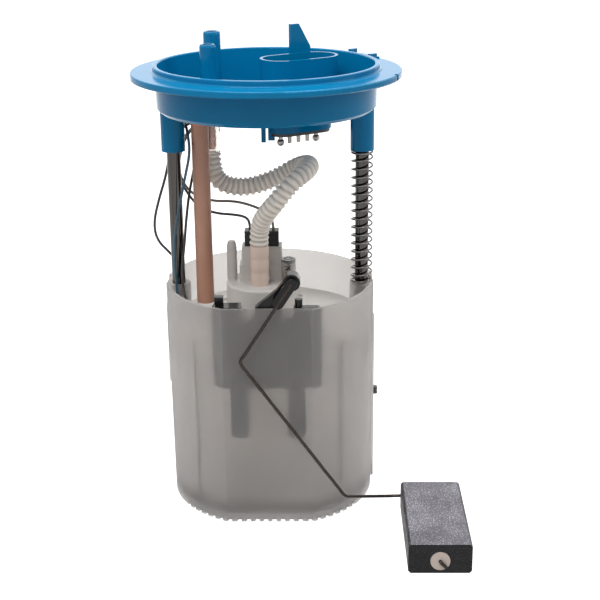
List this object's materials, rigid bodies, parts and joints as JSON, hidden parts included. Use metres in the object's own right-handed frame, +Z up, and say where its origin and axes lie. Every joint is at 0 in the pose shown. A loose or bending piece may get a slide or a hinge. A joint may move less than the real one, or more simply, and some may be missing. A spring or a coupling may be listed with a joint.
{
  "type": "fuel pump module",
  "caption": "In-tank fuel pump module: sprung flange on two guide rods over an open reservoir, with pump, level sender, swinging float arm and foam float.",
  "frame": {"origin": "centre of the reservoir's round foot, on the floor it stands on", "axes": "+Z up along the reservoir and the guide rods, -Y towards the flat front with the level sender, +X towards the main spring"},
  "size_m": [0.1676, 0.1706, 0.2465],
  "materials": {
    "blue_plastic": "smooth moulded",
    "natural_plastic": "translucent milky",
    "grey_plastic": "satin",
    "black_plastic": "glossy",
    "tan_plastic": "satin",
    "hose_plastic": "satin corrugated",
    "clear_rubber": "soft translucent",
    "black_rubber": "matte",
    "steel": "bright drawn",
    "terminal_brass": "tinned",
    "magnet_ferrite": "ceramic",
    "card_green": "printed",
    "filter_cloth": "woven",
    "float_foam": "speckled closed cell foam",
    "retainer_plastic": "satin",
    "wire_blue": "satin",
    "wire_black": "satin",
    "wire_brown": "satin"
  },
  "bodies": {
    "reservoir": {"reservoir": "natural_plastic", "side_clip": "black_plastic", "foot_valve": "black_rubber", "pump_holder": "grey_plastic", "isolator_lower": "black_rubber", "isolator_upper": "black_rubber", "pump_cover": "grey_plastic", "plug_left": "black_plastic", "plug_right": "black_plastic", "relief_body": "grey_plastic", "relief_cap": "black_plastic", "relief_spring": "steel", "pump_can": "steel", "pump_inlet": "grey_plastic", "bell_end": "grey_plastic", "magnet_front": "magnet_ferrite", "magnet_rear": "magnet_ferrite", "brush_left": "magnet_ferrite", "brush_right": "magnet_ferrite", "strainer": "filter_cloth", "sender_housing": "black_plastic", "sender_plug": "black_plastic", "resistor_card": "card_green", "hose_cuff_bottom": "clear_rubber"},
    "flange": {"flange": "blue_plastic", "terminal_insert": "black_plastic", "terminal_1": "terminal_brass", "terminal_2": "terminal_brass", "terminal_3": "terminal_brass", "terminal_4": "terminal_brass", "terminal_5": "terminal_brass", "guide_rod_left": "steel", "guide_rod_right": "steel", "rod_pin_left": "steel", "rod_pin_right": "steel", "main_spring": "steel", "pipe_fitting": "tan_plastic", "return_tube": "tan_plastic", "hose_cuff_top": "clear_rubber", "corrugated_hose": "hose_plastic", "wire_feed": "wire_brown", "wire_return": "wire_black", "wire_signal": "wire_blue", "wire_sender": "wire_black", "wire_ground": "wire_black"},
    "relief_plunger": {"relief_plunger": "steel"},
    "rotor": {"armature": "steel", "impeller": "grey_plastic"},
    "float_arm": {"float_arm": "steel", "sender_lever": "black_plastic", "sender_wiper": "terminal_brass", "float_retainer": "retainer_plastic"},
    "float": {"float": "float_foam"}
  },
  "joints": [
    {"name": "height_slide", "type": "slide", "parent": "reservoir", "child": "flange", "axis": [0, 0, -1], "range_m": [0, 0.025], "stiffness_N_per_m": 400, "springref_m": -0.03, "deforming": ["main_spring", "corrugated_hose", "wire_feed", "wire_return", "wire_signal", "wire_sender", "wire_ground"]},
    {"name": "relief_slide", "type": "slide", "parent": "reservoir", "child": "relief_plunger", "axis": [0, 0, 1], "range_m": [0, 0.0015], "stiffness_N_per_m": 1500, "springref_m": -0.002, "deforming": ["relief_spring"]},
    {"name": "pump_spin", "type": "hinge", "parent": "reservoir", "child": "rotor", "pos_m": [-0.0042, 0, 0.06], "axis": [0, 0, 1], "continuous": true},
    {"name": "arm_pivot", "type": "hinge", "parent": "reservoir", "child": "float_arm", "pos_m": [0.0126, -0.048, 0.1319], "axis": [0, -1, 0], "range_deg": [0, 70]},
    {"name": "float_pivot", "type": "hinge", "parent": "float_arm", "child": "float", "pos_m": [0.0841, -0.068, 0.0071], "axis": [0, -1, 0], "continuous": true}
  ]
}
